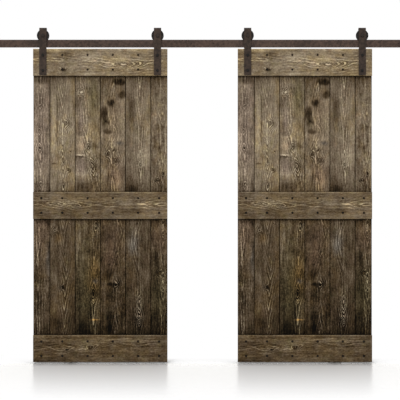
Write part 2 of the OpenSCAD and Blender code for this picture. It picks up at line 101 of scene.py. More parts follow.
# Floor. Its gloss is given by the share of FLOOR_REACH, in metres in front of the doors
FLOOR_HALF = 14.0
FLOOR_COLOUR = 0.92
FLOOR_LIFT = 0.22
FLOOR_SHADE = 0.70
FLOOR_SHADE_REACH = 0.14
FLOOR_WHITE_FROM = (-0.35, -0.10)
FLOOR_SHEEN = (1.0, 0.985, 0.955, 1.0)
FLOOR_ROUGHNESS = 0.22
FLOOR_REACH = 1.8
FLOOR_GLOSS_START = 0.015
FLOOR_GLOSS = [
    (0.0, 0.90),
    (0.028, 0.70),
    (0.06, 0.54),
    (0.11, 0.45),
    (0.22, 0.40),
    (0.37, 0.34),
    (0.52, 0.27),
    (0.78, 0.12),
    (1.0, 0.0),
]

# Sockets of a Mix node that mixes colours
MIX_SHARE, MIX_FIRST, MIX_SECOND, MIX_RESULT = 0, 6, 7, 2


def srgb(red, green, blue):
    """A colour written as it looks on a screen, from 0 to 255, as the linear colour of a shader socket."""
    linear = []
    for part in (red, green, blue):
        share = part / 255
        linear.append(share / 12.92 if share <= 0.04045 else ((share + 0.055) / 1.055) ** 2.4)
    return (*linear, 1.0)


def shade(colour, factor):
    """A colour made lighter or darker."""
    return (*(min(part * factor, 1.0) for part in colour[:3]), 1.0)


def feed(tree, socket, value):
    """Links a field or a socket to an input, or sets the input to a constant."""
    if isinstance(value, Field):
        value = value.socket
    if isinstance(value, bpy.types.NodeSocket):
        tree.links.new(value, socket)
    else:
        socket.default_value = value


class Field:
    """A number that varies over a surface, with arithmetic that adds Math nodes to its tree."""

    def __init__(self, tree, socket):
        self.tree = tree
        self.socket = socket

    def math(self, operation, *values):
        """The result of a Math node on these values."""
        node = self.tree.nodes.new("ShaderNodeMath")
        node.operation = operation
        for socket, value in zip(node.inputs, values):
            feed(self.tree, socket, value)
        return Field(self.tree, node.outputs[0])

    def __add__(self, other):
        return self.math("ADD", self, other)

    def __radd__(self, other):
        return self.math("ADD", other, self)

    def __sub__(self, other):
        return self.math("SUBTRACT", self, other)

    def __rsub__(self, other):
        return self.math("SUBTRACT", other, self)

    def __mul__(self, other):
        return self.math("MULTIPLY", self, other)

    def __rmul__(self, other):
        return self.math("MULTIPLY", other, self)

    def __truediv__(self, other):
        return self.math("DIVIDE", self, other)

    def root(self):
        return self.math("SQRT", self)

    def power(self, exponent):
        return self.math("POWER", self, exponent)

    def above(self, level):
        return self.math("GREATER_THAN", self, level)

    def fraction(self):
        return self.math("FRACT", self)

    def falloff(self):
        """1 where this field is 0, falling off as it grows."""
        return self.math("EXPONENT", self * -1.0)

    def step(self, low, high):
        """A smooth step from 0 at low to 1 at high."""
        node = self.tree.nodes.new("ShaderNodeMapRange")
        node.interpolation_type = "SMOOTHSTEP"
        for name, value in (("Value", self), ("From Min", low), ("From Max", high)):
            feed(self.tree, node.inputs[name], value)
        return Field(self.tree, node.outputs[0])

    def ramp(self, stops):
        """The colour or grey of a ramp with the given stops of (place, colour)."""
        node = self.tree.nodes.new("ShaderNodeValToRGB")
        elements = node.color_ramp.elements
        while len(elements) < len(stops):
            elements.new(1.0)
        for element, (place, colour) in zip(elements, stops):
            element.position = place
            element.color = colour if isinstance(colour, tuple) else (colour, colour, colour, 1.0)
        feed(self.tree, node.inputs[0], self)
        return Field(self.tree, node.outputs[0])


def noise(place, detail=2.0, roughness=0.5):
    """Smooth noise of about -0.5 to 0.5 at a place given as three fields, one unit to a feature."""
    tree = place[0].tree
    spot = tree.nodes.new("ShaderNodeCombineXYZ")
    for socket, value in zip(spot.inputs, place):
        feed(tree, socket, value)
    node = tree.nodes.new("ShaderNodeTexNoise")
    node.inputs["Scale"].default_value = 1.0
    node.inputs["Detail"].default_value = detail
    node.inputs["Roughness"].default_value = roughness
    tree.links.new(spot.outputs[0], node.inputs["Vector"])
    return Field(tree, node.outputs[0]) - 0.5


def even_noise(place, rate, detail, roughness):
    """Noise with the same number of features per metre in every direction."""
    return noise([axis * rate for axis in place], detail, roughness)


def mixed(tree, share, first, second, blend="MIX"):
    """Two colours mixed by share."""
    node = tree.nodes.new("ShaderNodeMix")
    node.data_type = "RGBA"
    node.blend_type = blend
    feed(tree, node.inputs[MIX_SHARE], share)
    feed(tree, node.inputs[MIX_FIRST], first)
    feed(tree, node.inputs[MIX_SECOND], second)
    return Field(tree, node.outputs[MIX_RESULT])


def bump(tree, height, strength, distance):
    """A bump node's normal for a height field."""
    node = tree.nodes.new("ShaderNodeBump")
    node.inputs["Strength"].default_value = strength
    node.inputs["Distance"].default_value = distance
    feed(tree, node.inputs["Height"], height)
    return node.outputs[0]


def new_finish(name):
    """A material with an empty Principled shader. Gives the material, its tree and the shader."""
    material = bpy.data.materials.new(name)
    material.use_nodes = True
    tree = material.node_tree
    tree.nodes.clear()
    shader = tree.nodes.new("ShaderNodeBsdfPrincipled")
    output = tree.nodes.new("ShaderNodeOutputMaterial")
    tree.links.new(shader.outputs[0], output.inputs[0])
    return material, tree, shader


def object_place(tree):
    """The place on a piece, in metres in the frame of the set, as three fields."""
    coordinates = tree.nodes.new("ShaderNodeTexCoord")
    split = tree.nodes.new("ShaderNodeSeparateXYZ")
    tree.links.new(coordinates.outputs["Object"], split.inputs[0])
    return [Field(tree, socket) for socket in split.outputs]


def paint(node_name, material):
    """Gives a CAD node its finish."""
    slots = nodes[node_name].material_slots
    for slot in slots:
        slot.material = material
    if not slots:
        nodes[node_name].data.materials.append(material)


def mark(kind, across, along, half_width, half_length, tone, swell=0.0, tint=None):
    """A mark in the wood, in millimetres: across from the piece's middle, and along from its upper or left end."""
    return dict(kind=kind, at=(across, along), size=(half_width, half_length), tone=tone, swell=swell, tint=tint)


def patch(across, along, half_width, half_length, tone, tint=None):
    """A soft patch, lighter or darker than the wood around it."""
    return mark("patch", across, along, half_width, half_length, tone, tint=tint)


def blotch(across, along, half_width, half_length, tone):
    """A dark stain with a ragged outline."""
    return mark("blotch", across, along, half_width, half_length, tone)


def loop(across, along, half_width, half_length, swell):
    """A stretch where the rings close into a long loop, with pointed arches at both ends."""
    return mark("loop", across, along, half_width, half_length, 0.0, swell)


def knot(across, along, half_width, half_length, tone=-0.3, swell=1.6, tint=None):
    """A knot: a dark core, with the rings crowded and bright around it."""
    return mark("knot", across, along, half_width, half_length, tone, swell, tint)


def stain(across, along, radius, tone):
    """A round dark stain, as around a screw."""
    return mark("stain", across, along, radius, radius, tone)


# Tints of weathered wood
GREEN = srgb(76, 70, 44)
TAN = srgb(128, 106, 80)
ORANGE = srgb(126, 92, 40)
BLUE = srgb(84, 83, 80)
RED = srgb(106, 82, 65)
MAUVE = srgb(118, 101, 92)

# Each piece's own figure. track is the line that its arches follow, as (along, across) in millimetres, spacing the
# width of a ring in millimetres, and drift the rings that run out at the face in each metre of length.
# tone and warm shift the colour, wander scales the sway of the rings, and busy the strength of the fibres.
BOARD_FIGURES = {
    1: dict(
        drift=3, tone=0.03, spacing=19, warm=0.0,
        track=[(0, -8), (1000, -12), (1200, -24), (2134, -22)],
        marks=[
            blotch(4, 222, 50, 30, -0.20),
            patch(0, 560, 80, 420, 0.0, MAUVE),
            patch(0, 1240, 70, 160, 0.03, RED),
            knot(-4, 383, 11, 13, -0.16),
            knot(-17, 560, 14, 17, -0.2),
            knot(-13, 676, 15, 20, -0.32),
            patch(14, 706, 30, 12, -0.12),
            knot(-4, 921, 15, 17, -0.26),
            patch(-38, 925, 26, 50, -0.22),
            patch(-40, 760, 20, 40, -0.14),
            patch(-21, 1222, 8, 45, 0.22),
            patch(40, 1200, 22, 14, -0.2),
            patch(46, 1438, 16, 95, -0.08, BLUE),
            patch(-24, 1440, 7, 90, 0.14),
        ],
    ),
    2: dict(
        drift=11, tone=0.05, spacing=16, warm=0.26, wander=0.4, busy=0.75,
        track=[(0, -6), (1000, 4), (1250, 8), (1500, 20), (1750, 10), (2134, 12)],
        marks=[
            loop(0, 640, 16, 120, 2.6),
            patch(-37, 420, 4, 200, -0.2),
            patch(-62, 560, 15, 240, 0.12),
            patch(60, 420, 12, 300, 0.07),
            knot(37, 512, 26, 30, -0.18, 2.4),
            knot(58, 703, 7, 9, -0.34, 0.6),
            knot(10, 778, 13, 12, -0.26, 1.0),
            blotch(-60, 786, 26, 10, -0.3),
            knot(46, 829, 14, 16, -0.3, 1.4),
            knot(10, 927, 8, 20, -0.3, 0.8),
            knot(-64, 1232, 24, 24, -0.06, 2.2),
            knot(50, 1190, 7, 8, -0.26, 0.6),
            patch(-30, 1290, 30, 40, 0.04, ORANGE),
            patch(10, 1240, 90, 70, -0.08),
            knot(-5, 1629, 18, 22, -0.24, 1.6),
        ],
    ),
    3: dict(
        drift=4, tone=0.01, spacing=19, warm=0.35,
        track=[(0, -44), (260, -40), (560, -10), (760, 22), (950, 54), (1200, 50), (1560, 40), (2134, 36)],
        marks=[
            knot(-52, 298, 28, 22, 0.05, 2.6),
            patch(40, 330, 38, 120, -0.12, GREEN),
            patch(-36, 600, 28, 7, 0.2),
            patch(-48, 660, 32, 46, 0.16, TAN),
            patch(-50, 721, 28, 5, 0.46),
            patch(-48, 737, 30, 5, -0.34),
            knot(4, 669, 18, 28, -0.24, 2.2),
            patch(52, 665, 22, 20, -0.24),
            knot(36, 800, 30, 46, -0.22, 2.4),
            patch(-48, 930, 36, 28, -0.26),
            patch(-54, 1275, 8, 50, 0.18),
            knot(58, 1211, 18, 26, -0.28, 1.8),
            patch(-74, 1411, 6, 60, 0.16),
            patch(44, 1500, 40, 90, 0.05, ORANGE),
            patch(40, 1620, 46, 90, 0.0, ORANGE),
            patch(-10, 1660, 90, 330, -0.04, GREEN),
            patch(-45, 500, 30, 90, 0.03, MAUVE),
            patch(-45, 800, 34, 60, 0.05, MAUVE),
            patch(53, 1585, 20, 18, 0.14, BLUE),
            knot(36, 1672, 24, 40, -0.36, 2.4),
            patch(38, 1706, 7, 12, 0.5),
            patch(49, 1843, 34, 5, 0.40, ORANGE),
            patch(49, 1843, 34, 9, 0.0, ORANGE),
            blotch(-10, 1900, 90, 70, -0.10),
        ],
    ),
    4: dict(
        drift=-3, tone=-0.03, spacing=19, warm=0.35,
        track=[
            (0, 20), (440, -16), (560, 14), (680, -30), (820, -4), (1100, 8), (1250, 52), (1400, 34),
            (1580, 10), (1800, 20), (2134, 10),
        ],
        marks=[
            blotch(44, 226, 52, 24, -0.36),
            blotch(60, 315, 30, 32, -0.34),
            blotch(-13, 368, 24, 26, -0.40),
            blotch(-60, 455, 28, 70, -0.40),
            blotch(-40, 500, 18, 18, -0.34),
            blotch(-40, 562, 34, 18, -0.30),
            patch(10, 640, 40, 44, 0.10),
            patch(43, 642, 25, 12, -0.18, BLUE),
            knot(6, 689, 14, 14, -0.28, 1.4),
            knot(-44, 721, 20, 20, -0.2, 2.0),
            knot(30, 760, 26, 26, -0.16, 2.2),
            patch(-20, 1440, 46, 70, 0.10, RED),
            patch(-10, 1310, 70, 120, 0.0, RED),
            patch(20, 860, 60, 90, 0.03, RED),
            patch(0, 480, 60, 180, 0.07, TAN),
            blotch(-36, 1530, 36, 40, -0.30),
            blotch(-10, 1610, 36, 16, -0.30),
            knot(33, 1600, 26, 22, -0.3, 1.8),
            patch(-20, 1680, 24, 60, -0.16),
            blotch(-34, 1905, 40, 30, -0.2),
        ],
    ),
    5: dict(
        drift=5, tone=-0.01, spacing=17, warm=0.12, wander=0.6, busy=0.85,
        track=[(0, 10), (700, 14), (1000, 18), (1300, -20), (1500, 4), (2134, 6)],
        marks=[
            patch(-48, 420, 34, 190, -0.17),
            patch(10, 330, 34, 200, 0.06),
            knot(16, 785, 12, 16, -0.34, 1.8),
            loop(14, 740, 14, 60, 1.6),
            blotch(-34, 948, 40, 24, -0.15),
            patch(-36, 1332, 38, 80, 0.12, BLUE),
            loop(4, 1730, 20, 60, 2.0),
            knot(4, 1850, 22, 24, -0.2, 2.2),
            patch(0, 1910, 90, 110, -0.09),
            patch(-30, 890, 60, 80, -0.05),
            patch(4, 1820, 22, 6, 0.34),
        ],
    ),
    6: dict(
        drift=6, tone=-0.03, spacing=19, warm=0.25,
        track=[(0, 26), (2134, 25)],
        marks=[
            patch(-30, 640, 20, 60, -0.18),
            patch(0, 1700, 70, 220, 0.0, GREEN),
            patch(0, 1290, 60, 90, 0.03, RED),
            patch(-20, 880, 60, 90, -0.10),
            blotch(8, 676, 14, 34, -0.3),
            patch(2, 810, 6, 50, 0.2),
            knot(28, 846, 14, 17, -0.3, 1.4),
            knot(-12, 897, 16, 18, -0.32, 1.4),
            loop(27, 1225, 10, 60, 2.0),
            patch(-18, 1440, 16, 50, -0.14),
            knot(-5, 1526, 17, 18, -0.2, 2.0, ORANGE),
            loop(24, 1600, 10, 60, 1.8),
        ],
    ),
}

# The rails' tones give their wood's tone and fall from the top rail to the bottom, as painted shade like the
# boards' darkening
RAIL_FIGURES = {
    "top": dict(
        drift=4, tone=0.67, spacing=20, warm=0.5,
        track=[(0, 20), (240, 14), (420, 10), (560, -8), (914, 12)],
        marks=[
            knot(-50, 203, 16, 20, -0.4, 2.2),
            patch(-56, 226, 34, 34, -0.16),
            patch(-38, 600, 14, 60, 0.12),
            patch(52, 225, 34, 30, -0.1),
            loop(-22, 640, 24, 90, 2.6),
        ],
    ),
    "mid": dict(
        drift=-4, tone=0.515, spacing=20, warm=0.5, busy=0.85,
        track=[(0, 20), (300, 0), (620, 10), (914, 14)],
        marks=[
            loop(10, 240, 22, 100, 2.0),
            patch(-10, 690, 46, 34, -0.12),
            patch(12, 790, 5, 90, 0.22),
        ],
    ),
    "bottom": dict(
        drift=3, tone=0.42, spacing=20, warm=0.5,
        track=[(0, 10), (300, 4), (600, 44), (914, 30)],
        marks=[
            knot(-8, 230, 12, 14, -0.32, 1.6),
            knot(6, 390, 16, 24, -0.36, 2.2),
            patch(60, 560, 5, 120, 0.16),
            patch(4, 180, 5, 90, 0.14),
        ],
    ),
}

# Colours of dry and of oiled wood, from dark to light
GREY_WOOD = [
    (0.0, srgb(9, 6, 3)),
    (0.2, srgb(42, 32, 18)),
    (0.4, srgb(76, 62, 45)),
    (0.6, srgb(110, 97, 80)),
    (0.8, srgb(147, 132, 110)),
    (1.0, srgb(196, 181, 154)),
]
WARM_WOOD = [
    (0.0, srgb(10, 6, 2)),
    (0.2, srgb(45, 32, 15)),
    (0.4, srgb(81, 64, 40)),
    (0.6, srgb(116, 98, 71)),
    (0.8, srgb(152, 132, 98)),
    (1.0, srgb(202, 180, 136)),
]
WOOD_ROUGHNESS, WOOD_ROUGHNESS_PLAY = 0.80, 0.2
WOOD_SPECULAR = 0.06
RELIEF_STRENGTH, RELIEF_DEPTH = 0.6, 1.4 * MM

# Tone of the boards by share of the door's height, from the top, with painted shade that darkens them towards the
# bottom, and the grain's gain in strength in each metre
BOARD_TONE_AND_SHADE = [
    (0.0, 0.57),
    (0.10, 0.57),
    (0.16, 0.605),
    (0.29, 0.64),
    (0.40, 0.575),
    (0.50, 0.48),
    (0.60, 0.42),
    (0.70, 0.37),
    (0.80, 0.30),
    (0.87, 0.235),
    (0.95, 0.17),
]
GRAIN_GAIN = 0.14

# How much paler the backs are, as painted light for the little light that reaches them, and the depths between
# which the front ends
BACK_PAINTED_LIGHT = 0.08
FRONT_END = (8 * MM, 11 * MM)

# Painted shade on the boards along the edges of the rails, darkest under them, as (share of the door's height,
# thin line, soft shade)
RAIL_SHARE = RAIL_H / DOOR_H
RAIL_EDGE_SHADE = [
    (RAIL_SHARE, -0.40, -0.15),
    (0.5 - RAIL_SHARE / 2, -0.14, -0.09),
    (0.5 + RAIL_SHARE / 2, -0.30, -0.12),
    (1.0 - RAIL_SHARE, -0.26, -0.05),
]
THIN_SHADE = 6 * MM
SOFT_SHADE = 34 * MM

# Dirt in the grooves between the boards: depths where it starts and ends, its tone, and its fade in each metre
GROOVE_MOUTH = (0.2 * MM, 2.2 * MM)
GROOVE_BED = (6 * MM, 8 * MM)
GROOVE_TONE = 0.34
GROOVE_FADE = 0.08

# Painted highlight along the rails' upper edge, where light falls on it
TOP_HIGHLIGHT_INSET = 3 * MM
TOP_HIGHLIGHT_WIDTH = 4 * MM
TOP_HIGHLIGHT_TONE = 0.14

# Tone across one growth ring: a pale line between two dark ones
RING_LINES = [
    (0.0, 0.47),
    (0.30, 0.42),
    (0.42, 0.20),
    (0.54, 0.92),
    (0.70, 0.94),
    (0.82, 0.24),
    (1.0, 0.47),
]

# Fine lines to a ring, the rings' centre in front of the face, and the widest swing of the arches in millimetres
FINE_LINES = 2.6
RING_CENTRE = 2 * MM
TRACK_SPAN = 200

# Sways in the grain, as waves of (features per metre across, features per metre along, reach)
ARCH_SWAY = [(5, 2.4, 30 * MM)]
RING_SWAY = [(3, 3.4, 5.0), (18, 15, 0.55)]
MARK_SWAY_ACROSS = [(24, 9, 26 * MM), (80, 38, 12 * MM)]
MARK_SWAY_ALONG = [(20, 12, 40 * MM), (70, 44, 16 * MM)]
GROOVE_SWAY = [(4, 9, 0.9)]
WARMTH_SWAY = [(7, 2.2, 2.2), (32, 18, 1.6)]
HUE_SWAY = [(46, 30, 0.7)]

# Layers of noise in the wood, as features per metre across and along the grain, detail and roughness
FIBRES = {
    "cloud": (8, 3.0, 3, 0.5),
    "smoke": (15, 10, 3, 0.6),
    "broad": (24, 1.3, 3, 0.5),
    "streak": (80, 4.0, 3, 0.6),
    "speckle": (120, 80, 2, 0.6),
    "dash": (135, 34, 2, 0.6),
    "fibre": (340, 14, 3, 0.6),
    "ridges": (430, 8, 3, 0.65),
    "pores": (620, 17, 2, 0.6),
    "hair": (1100, 45, 2, 0.5),
}
HUE_PATCHES = (13, 8, 3, 0.6)
FLAME_PATCHES = (8, 4.5, 2, 0.5)
RAGGED_EDGES = (60, 40, 3, 0.6)

# Layers that show only where their noise is strong, with the levels where they set in and are full
CRESTS = {"ridges": (0.04, 0.16), "pores": (0.09, 0.15)}

# Shares of the layers in the wood's tone and relief, as (everywhere, further share where the figure is lively)
FIBRE_TONE = {
    "cloud": (0.40, 0.0),
    "smoke": (0.50, 0.0),
    "broad": (0.36, 0.0),
    "streak": (0.36, 0.0),
    "fibre": (0.34, 0.0),
    "hair": (0.20, 0.0),
    "dash": (0.32, 0.18),
    "speckle": (0.38, 0.20),
}
LINE_TONE = {
    "lines": (0.08, 0.60),
    "fine_lines": (0.05, 0.10),
    "ridges": (0.13, 0.0),
    "pores": (-0.20, 0.0),
}
RELIEF = {
    "lines": (0.2, 0.5),
    "streak": (0.5, 0.0),
    "dash": (0.4, 0.0),
    "fibre": (0.4, 0.0),
    "hair": (0.2, 0.0),
    "speckle": (0.2, 0.0),
    "ridges": (0.2, 0.0),
    "pores": (-0.3, 0.0),
}

# Lively stretch along the arches: its half width, its least strength and the levels of the noise that breaks it up
FLAME_REACH = 26 * MM
FLAME_LEAST = 0.35
FLAME_EDGE = (-0.08, 0.12)

# Marks: how ragged their outlines are, how far their curl reaches, and where they set in and are full
RAGGED_REACH = 3.0
CURL_POWER = 0.45
KNOT_EDGE = (0.15, 0.95)
STAIN_EDGE = (0.30, 0.60)

# Dark stain around a screw: its radius in millimetres and its tone
SCREW_STAIN, SCREW_STAIN_TONE = 8.5, -0.45

# Drift of the hue between green and red, and strength of the marks' tints
HUE_EDGE = (0.0, 0.4)
HUE_SHARE = 0.40
TINT_SHARE = 0.45

# Distance between two pieces' places in the noise, in metres, and the number of the first rail's place
SEED_STEP = 9.7
RAIL_SEED = 11


class Wood:
    """Fields on one piece of wood: places across and along its grain, and noise drawn out along the grain."""

    def __init__(self, tree, origin, upright, seed):
        x, y, z = object_place(tree)
        x = x - x.above(0.0) * DOOR_SHIFT
        if upright:
            self.across, self.along, self.length = x - origin.x, origin.z - z, DOOR_H
        else:
            self.across, self.along, self.length = z - origin.z, x - origin.x, DOOR_W
        self.tree = tree
        self.depth = y - origin.y
        self.far = self.along + seed * SEED_STEP
        self.front = 1.0 - self.depth.step(*FRONT_END)

    def grain(self, across_rate, along_rate, detail=2.0, roughness=0.5):
        """Noise with this many features per metre across and along the grain."""
        place = (self.across * across_rate, self.far * along_rate, self.depth * across_rate)
        return noise(place, detail, roughness)

    def sway(self, waves):
        """The sum of some waves of noise."""
        total = 0.0
        for across_rate, along_rate, reach in waves:
            total = self.grain(across_rate, along_rate) * reach + total
        return total

    def lay_marks(self, marks):
        """The summed tone, ring push, curl and tints of a piece's marks."""
        across = self.across + self.sway(MARK_SWAY_ACROSS)
        along = self.along + self.sway(MARK_SWAY_ALONG)
        ragged = 1.0 + self.grain(*RAGGED_EDGES) * RAGGED_REACH
        tone, push, curl, tints = 0.0, 0.0, 0.0, {}
        for one in marks:
            kind = one["kind"]
            place = (self.across, self.along) if kind == "stain" else (across, along)
            reach, span = [(here - at * MM) / (size * MM) for here, at, size in zip(place, one["at"], one["size"])]
            near = (reach * reach + span * span).falloff()
            if one["swell"]:
                push = near * one["swell"] + push
                curl = near.power(CURL_POWER) + curl
            if kind in ("knot", "blotch"):
                near = (near * ragged).step(*KNOT_EDGE)
            if kind == "stain":
                near = near.step(*STAIN_EDGE)
            if kind in ("patch", "blotch"):
                near = near * self.front
            if one["tone"]:
                tone = near * one["tone"] + tone
            if one["tint"]:
                tints[one["tint"]] = near + tints.get(one["tint"], 0.0)
        return tone, push, curl, tints

    def off_track(self, stops):
        """The distance across from the line that the arches follow."""
        places = [(along * MM / self.length, 0.5 + across / TRACK_SPAN) for along, across in stops]
        return self.across - ((self.along / self.length).ramp(places) - 0.5) * (TRACK_SPAN * MM)

    def layers(self, figure, push, curl):
        """Fibres and growth lines by name, and how lively the figure is."""
        found = {name: self.grain(*rates) for name, rates in FIBRES.items()}
        for name, edge in CRESTS.items():
            found[name] = found[name].step(*edge)

        # Growth rings: nested arches where the face runs along them, and straight lines to either side
        off = self.off_track(figure["track"]) + self.sway(ARCH_SWAY)
        wave = self.sway(RING_SWAY) * figure.get("wander", 1.0) + self.along * figure["drift"]
        reach = self.depth + RING_CENTRE
        rings = (off * off + reach * reach).root() / (figure["spacing"] * MM) + wave - push
        found["lines"] = rings.fraction().ramp(RING_LINES) - 0.5
        found["fine_lines"] = (rings * FINE_LINES).fraction().ramp(RING_LINES) - 0.5

        spread = off / FLAME_REACH
        flicker = FLAME_LEAST + self.grain(*FLAME_PATCHES).step(*FLAME_EDGE) * (1.0 - FLAME_LEAST)
        return found, (spread * spread).falloff() * flicker + curl

    def board_shade_and_grime(self):
        """Tone of the painted shade on a board along the rails' edges, and of the grime in the grooves beside it.
        """
        rail_shade = 0.0
        # Painted shade in bands along the rails' edges, summed here
        for share, thin, soft in RAIL_EDGE_SHADE:
            away = self.along - share * DOOR_H
            away = away * away
            band = (away / THIN_SHADE ** 2).falloff() * thin + (away / SOFT_SHADE ** 2).falloff() * soft
            rail_shade = band * self.front + rail_shade
        groove = self.depth.step(*GROOVE_MOUTH) * (1.0 - self.depth.step(*GROOVE_BED))
        return rail_shade - groove * (GROOVE_TONE + self.sway(GROOVE_SWAY) - self.along * GROOVE_FADE)

    def top_edge_highlight(self):
        """Tone of a painted highlight along a rail's upper edge."""
        edge = (self.across - (RAIL_H / 2 - TOP_HIGHLIGHT_INSET)) / TOP_HIGHLIGHT_WIDTH
        return (edge * edge).falloff() * TOP_HIGHLIGHT_TONE

    def colour(self, tone, warm, tints):
        """The wood's colour for a tone, with its drift between grey and warm and between green and red."""
        warmth = (self.sway(WARMTH_SWAY) + warm).step(0.0, 1.0)
        colour = mixed(self.tree, warmth, tone.ramp(GREY_WOOD), tone.ramp(WARM_WOOD))
        hue = self.grain(*HUE_PATCHES) + self.sway(HUE_SWAY)
        for way, tint in ((1.0, GREEN), (-1.0, RED)):
            colour = mixed(self.tree, (hue * way).step(*HUE_EDGE) * HUE_SHARE, colour, tint, "COLOR")
        for tint, share in tints.items():
            colour = mixed(self.tree, share * TINT_SHARE, colour, tint, "COLOR")
        return colour


def summed(layers, shares, lively):
    """The layers of wood added up by their shares."""
    total = 0.0
    for name, (everywhere, further) in shares.items():
        total = layers[name] * (everywhere + lively * further if further else everywhere) + total
    return total


def wood_finish(name, origin, upright, figure, seed):
    """Weathered, brushed wood. The grain runs down from origin on the boards, and to the right on the rails."""
    material, tree, shader = new_finish(name)
    wood = Wood(tree, origin, upright, seed)
    mark_tone, push, curl, tints = wood.lay_marks(figure["marks"])
    layers, lively = wood.layers(figure, push, curl)

    tone = summed(layers, FIBRE_TONE, lively) * figure.get("busy", 1.0) + summed(layers, LINE_TONE, lively)
    # On the boards, painted shade darkens the tone towards the bottom of the door
    if upright:
        tone = tone * (1.0 + wood.along * GRAIN_GAIN) + (wood.along / DOOR_H).ramp(BOARD_TONE_AND_SHADE)
    # Marks, the piece's own tone, and paler backs as painted light
    tone = tone + mark_tone + figure["tone"] + BACK_PAINTED_LIGHT * (1.0 - wood.front)
    # Boards get painted shade along the rails' edges and grime in their grooves; rails get a painted highlight on
    # their upper edge
    tone = tone + (wood.board_shade_and_grime() if upright else wood.top_edge_highlight())

    relief = summed(layers, RELIEF, lively)
    feed(tree, shader.inputs["Base Color"], wood.colour(tone, figure["warm"], tints))
    feed(tree, shader.inputs["Roughness"], WOOD_ROUGHNESS + layers["fibre"] * WOOD_ROUGHNESS_PLAY)
    feed(tree, shader.inputs["Normal"], bump(tree, relief, RELIEF_STRENGTH, RELIEF_DEPTH))
    shader.inputs["Specular IOR Level"].default_value = WOOD_SPECULAR
    return material


# Noises of the fittings' finishes, as features per metre, detail and roughness
CLOUD_NOISE = (7, 2, 0.5)
MOTTLE_NOISE = (60, 3, 0.6)
PIT_NOISE = (900, 2, 0.6)
PLAIN_NOISE = (400, 3, 0.6)

# Bronze paint: the noises' shares in its tone, how light and dark it gets, its gloss and its relief
CLOUD_SHARE, MOTTLE_SHARE = 0.9, 1.7
BRONZE_DARK, BRONZE_LIGHT, BRONZE_RUBBED = 0.58, 1.50, 2.0
PAINT_EDGE = (0.1, 0.9)
BRONZE_ROUGHNESS, BRONZE_ROUGHNESS_PLAY, BRONZE_POLISH = 0.52, 0.16, 0.14
BRONZE_METAL = 0.1
PIT_STRENGTH, PIT_DEPTH, MOTTLE_RELIEF = 0.25, 0.3 * MM, 0.4

# Wear along the edges of the bronze paint
WEAR_WIDTH = 1.2 * MM
WEAR_SAMPLES = 6
WEAR_EDGE = (0.01, 0.22)
WEAR_BREAKS = 3.0
WEAR_SHARE = 0.6

# Plain finishes, and the gloss that they share with the paint
PLAIN_DARK, PLAIN_LIGHT = 0.75, 1.25
PLAIN_EDGE = (0.2, 0.8)
PLAIN_ROUGHNESS_PLAY = 0.2
PLAIN_STRENGTH, PLAIN_DEPTH = 0.2, 0.2 * MM
FITTING_SPECULAR = 0.2


def edge_wear(tree):
    """1 along a piece's edges and 0 on its faces."""
    rounded = tree.nodes.new("ShaderNodeBevel")
    rounded.samples = WEAR_SAMPLES
    rounded.inputs["Radius"].default_value = WEAR_WIDTH
    flat = tree.nodes.new("ShaderNodeNewGeometry")
    facing = tree.nodes.new("ShaderNodeVectorMath")
    facing.operation = "DOT_PRODUCT"
    tree.links.new(rounded.outputs[0], facing.inputs[0])
    tree.links.new(flat.outputs["True Normal"], facing.inputs[1])
    return (1.0 - Field(tree, facing.outputs["Value"])).step(*WEAR_EDGE)


def bronze_finish(name, colour, roughness=BRONZE_ROUGHNESS):
    """Dark bronze paint on steel, mottled and rubbed thin along the edges."""
    material, tree, shader = new_finish(name)
    place = object_place(tree)
    cloud = even_noise(place, *CLOUD_NOISE)
    mottle = even_noise(place, *MOTTLE_NOISE)
    pits = even_noise(place, *PIT_NOISE)
    share = (mottle * MOTTLE_SHARE + cloud * CLOUD_SHARE + 0.5).step(*PAINT_EDGE)
    painted = mixed(tree, share, shade(colour, BRONZE_DARK), shade(colour, BRONZE_LIGHT))
    worn = edge_wear(tree) * (mottle * WEAR_BREAKS + 0.5).step(*PAINT_EDGE)
    rubbed = mixed(tree, worn * WEAR_SHARE, painted, shade(colour, BRONZE_RUBBED))
    relief = pits + mottle * MOTTLE_RELIEF
    feed(tree, shader.inputs["Base Color"], rubbed)
    feed(tree, shader.inputs["Roughness"], roughness + mottle * BRONZE_ROUGHNESS_PLAY - worn * BRONZE_POLISH)
    feed(tree, shader.inputs["Normal"], bump(tree, relief, PIT_STRENGTH, PIT_DEPTH))
    shader.inputs["Metallic"].default_value = BRONZE_METAL
    shader.inputs["Specular IOR Level"].default_value = FITTING_SPECULAR
    return material


def plain_finish(name, colour, roughness, metallic=0.0):
    """A moulded or turned finish, with fine unevenness."""
    material, tree, shader = new_finish(name)
    grain = even_noise(object_place(tree), *PLAIN_NOISE)
    share = (grain + 0.5).step(*PLAIN_EDGE)
    uneven = mixed(tree, share, shade(colour, PLAIN_DARK), shade(colour, PLAIN_LIGHT))
    feed(tree, shader.inputs["Base Color"], uneven)
    feed(tree, shader.inputs["Roughness"], roughness + grain * PLAIN_ROUGHNESS_PLAY)
    feed(tree, shader.inputs["Normal"], bump(tree, grain, PLAIN_STRENGTH, PLAIN_DEPTH))
    shader.inputs["Metallic"].default_value = metallic
    shader.inputs["Specular IOR Level"].default_value = FITTING_SPECULAR
    return material


def board_faces():
    """The left and right edge of each board's face on the left door."""
    lefts = [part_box(f"left_board_{i}")[0].x for i in BOARDS]
    rights = [left - BOARD_GAP for left in lefts[1:]] + [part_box(f"left_board_{BOARDS[-1]}")[1].x]
    return list(zip(lefts, rights))


def screw_columns(level):
    """The screws' distances from a door's left edge. The straps cover the outer columns of the top rail."""
    columns = [(left + right) / 2 - DOOR_LEFT for left, right in board_faces()]
    return columns[1:-1] if level == "top" else columns


def rail_middle(level):
    """The height of a rail's middle line."""
    low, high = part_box(f"left_{level}_rail")
    return (low.z + high.z) / 2


def screw_stains(level):
    """Dark stains in a rail around its screws."""
    return [
        stain(row / MM, column / MM, SCREW_STAIN, SCREW_STAIN_TONE)
        for column in screw_columns(level)
        for row in (-SCREW_ROW, SCREW_ROW)
    ]


